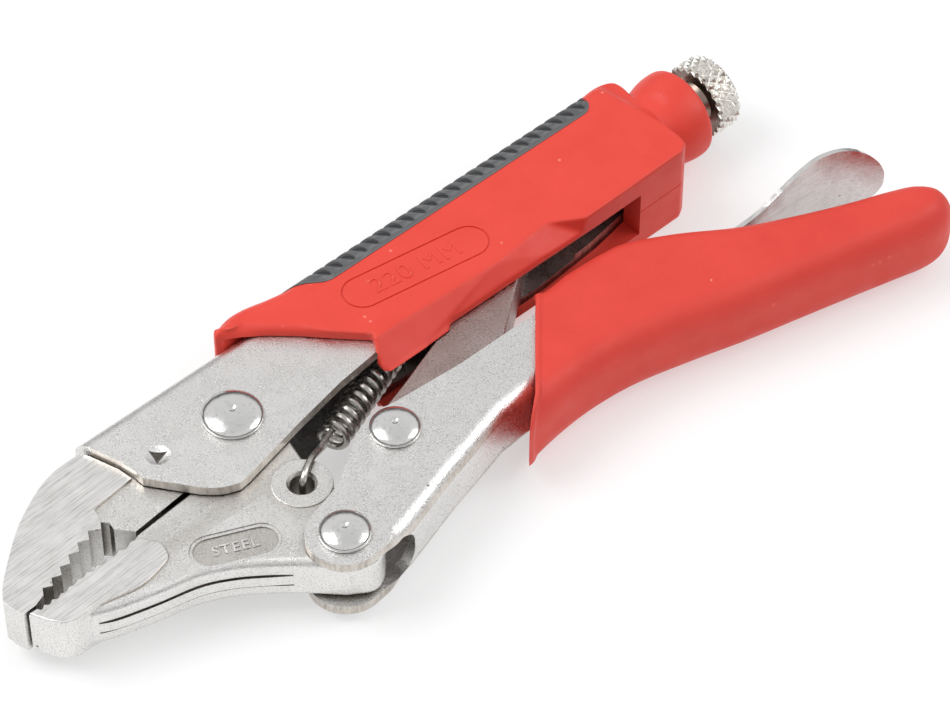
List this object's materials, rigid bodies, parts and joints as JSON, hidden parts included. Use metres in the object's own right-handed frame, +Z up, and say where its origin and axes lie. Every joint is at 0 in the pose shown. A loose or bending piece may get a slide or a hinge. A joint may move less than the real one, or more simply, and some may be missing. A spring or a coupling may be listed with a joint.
{
  "type": "locking pliers",
  "caption": "Curved-jaw locking pliers with a toggle linkage, adjusting screw, return spring, release lever and red grips, lying flat with the jaws closed.",
  "frame": {"origin": "centre of the tool's bounding box, on the surface that the tool lies on", "axes": "+X from the jaws towards the adjusting screw, +Y towards the fixed handle's back, +Z up through the tool's thickness, parallel to every hinge pin"},
  "size_m": [0.223, 0.0824, 0.0212],
  "materials": {
    "plated_steel": "blasted and plated",
    "jaw_steel": "forged, ground faces, plated",
    "rivet_steel": "polished",
    "screw_steel": "bright nickel plating",
    "lever_steel": "satin",
    "spring_steel": "dark oiled wire",
    "red_grip": "satin",
    "red_sleeve": "matte",
    "grey_insert": "matte"
  },
  "bodies": {
    "frame": {"fixed_frame": "plated_steel", "fixed_jaw": "jaw_steel", "jaw_pivot_rivet": "rivet_steel", "screw_bush": "screw_steel", "fixed_grip": "red_grip", "grip_insert": "grey_insert", "return_spring": "spring_steel"},
    "jaw": {"moving_jaw": "jaw_steel"},
    "handle": {"moving_handle": "plated_steel", "handle_pivot_rivet": "rivet_steel", "link_rivet": "rivet_steel", "lever_rivet": "plated_steel", "moving_grip": "red_sleeve"},
    "link": {"toggle_link": "plated_steel"},
    "lever": {"release_lever": "lever_steel"},
    "screw_carrier": {"screw_stop_ring": "spring_steel"},
    "screw": {"adjusting_screw": "screw_steel"}
  },
  "joints": [
    {"name": "jaw_swing", "type": "hinge", "parent": "frame", "child": "jaw", "pos_m": [-0.04695, 0.0194, 0.0106], "axis": [0, 0, 1], "range_deg": [0, 22.1], "deforming": ["return_spring"]},
    {"name": "handle_swing", "type": "hinge", "parent": "jaw", "child": "handle", "pos_m": [-0.05045, -0.02, 0.0106], "axis": [0, 0, 1], "range_deg": [-68.5, 0]},
    {"name": "link_swing", "type": "hinge", "parent": "handle", "child": "link", "pos_m": [-0.02435, -0.006, 0.0106], "axis": [0, 0, 1], "range_deg": [0, 69.1]},
    {"name": "lever_press", "type": "hinge", "parent": "handle", "child": "lever", "pos_m": [0.03305, -0.0076, 0.0106], "axis": [0, 0, 1], "range_deg": [-4.5, 3]},
    {"name": "screw_travel", "type": "slide", "parent": "frame", "child": "screw_carrier", "axis": [1, 0, 0], "range_m": [0, 0.016]},
    {"name": "screw_turn", "type": "hinge", "parent": "screw_carrier", "child": "screw", "pos_m": [0.05305, 0.0266, 0.0106], "axis": [1, 0, 0], "range_deg": [0, 4100]}
  ],
  "couplings": [
    {"joint": "jaw_swing", "follows": "handle_swing", "ratio": -0.3212},
    {"joint": "link_swing", "follows": "handle_swing", "ratio": -1.0073},
    {"joint": "screw_turn", "follows": "screw_travel", "rad_per_m": 4188.8}
  ]
}
